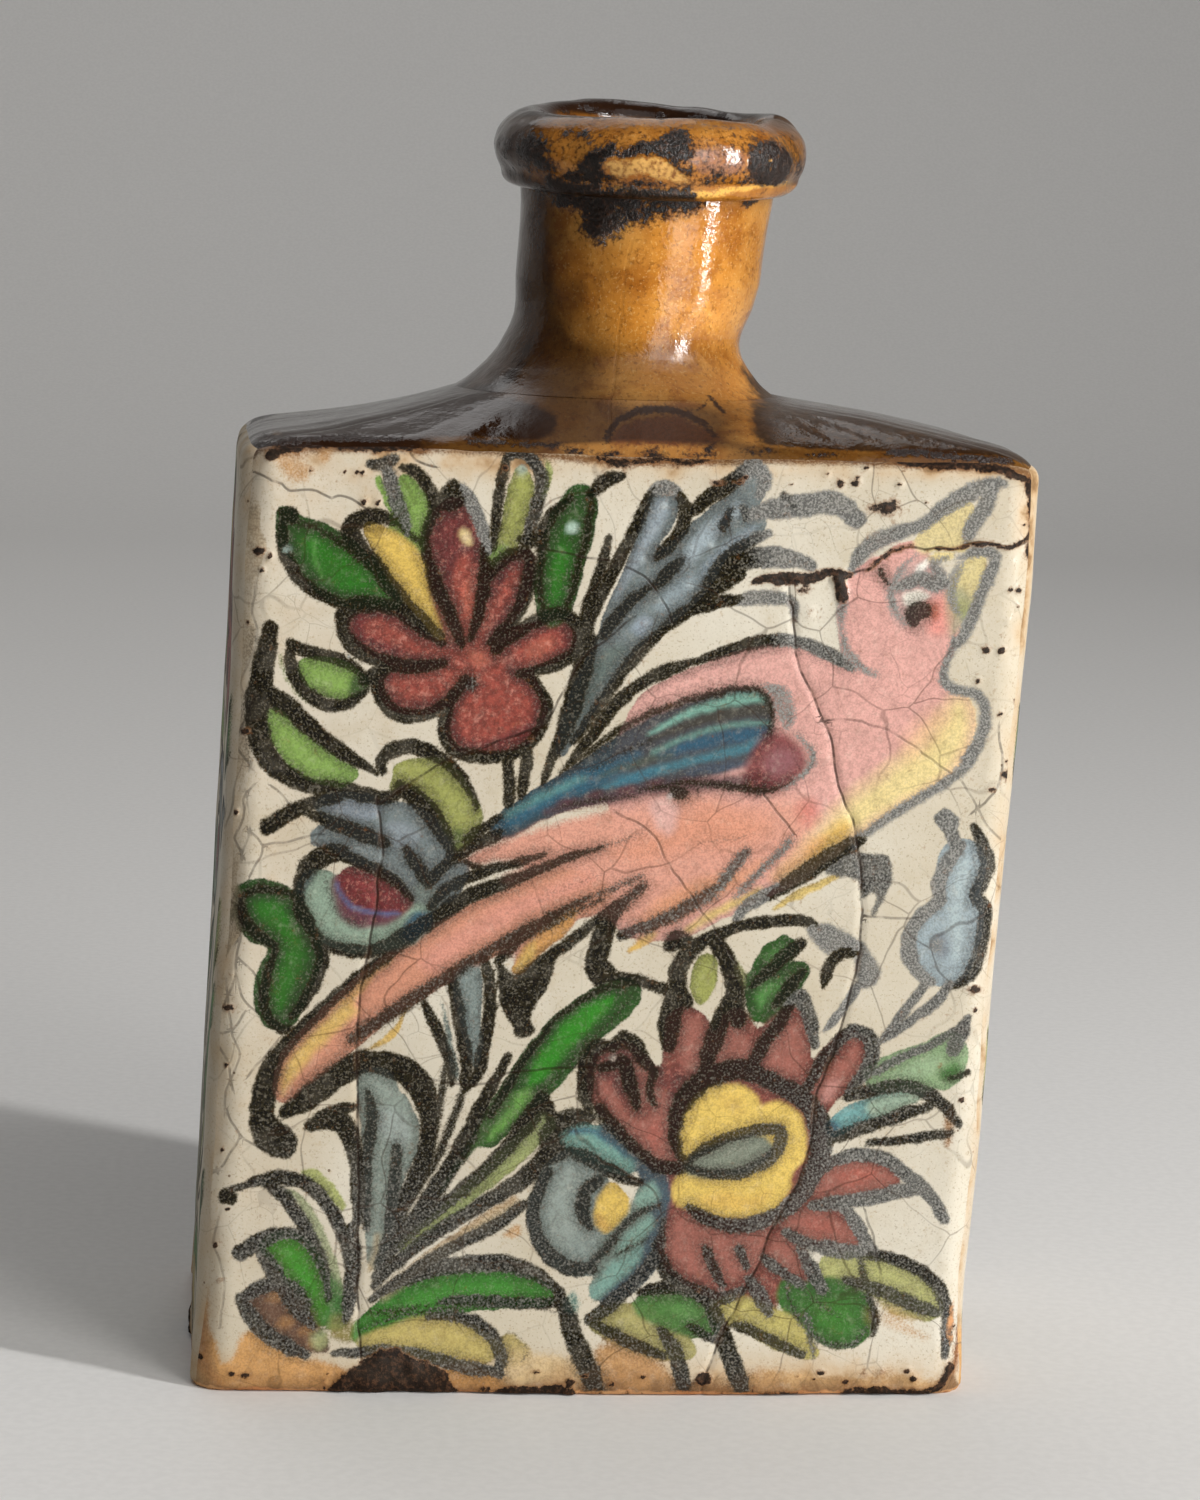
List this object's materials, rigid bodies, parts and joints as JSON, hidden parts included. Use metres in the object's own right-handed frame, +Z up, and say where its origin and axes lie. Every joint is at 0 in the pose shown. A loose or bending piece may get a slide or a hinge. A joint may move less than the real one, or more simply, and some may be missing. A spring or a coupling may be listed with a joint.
{
  "type": "flask",
  "caption": "Slab-built pottery flask with a flat square body, hipped shoulder, short leaning neck and rolled lip, glazed cream with painted flowers and a bird.",
  "frame": {"origin": "middle of the flask's bounding box in plan, on the surface that it stands on", "axes": "+Z up, the painted front faces -Y, +X to the right as the front is looked at"},
  "size_m": [0.0872, 0.046, 0.1372],
  "materials": {
    "painted_glaze": "crackled cream glaze with painted ornament",
    "amber_glaze": "glossy mottled amber glaze",
    "worn_glaze": "amber glaze over worn dark paint",
    "bare_clay": "unglazed fired clay"
  },
  "bodies": {
    "root": {"base_slab": "bare_clay", "front_wall": "painted_glaze", "back_wall": "painted_glaze", "left_wall": "painted_glaze", "right_wall": "painted_glaze", "corner_coils": "bare_clay", "base_coil": "bare_clay", "shoulder": "amber_glaze", "neck_coil": "amber_glaze", "neck": "amber_glaze", "lip_ring": "worn_glaze"}
  },
  "joints": []
}
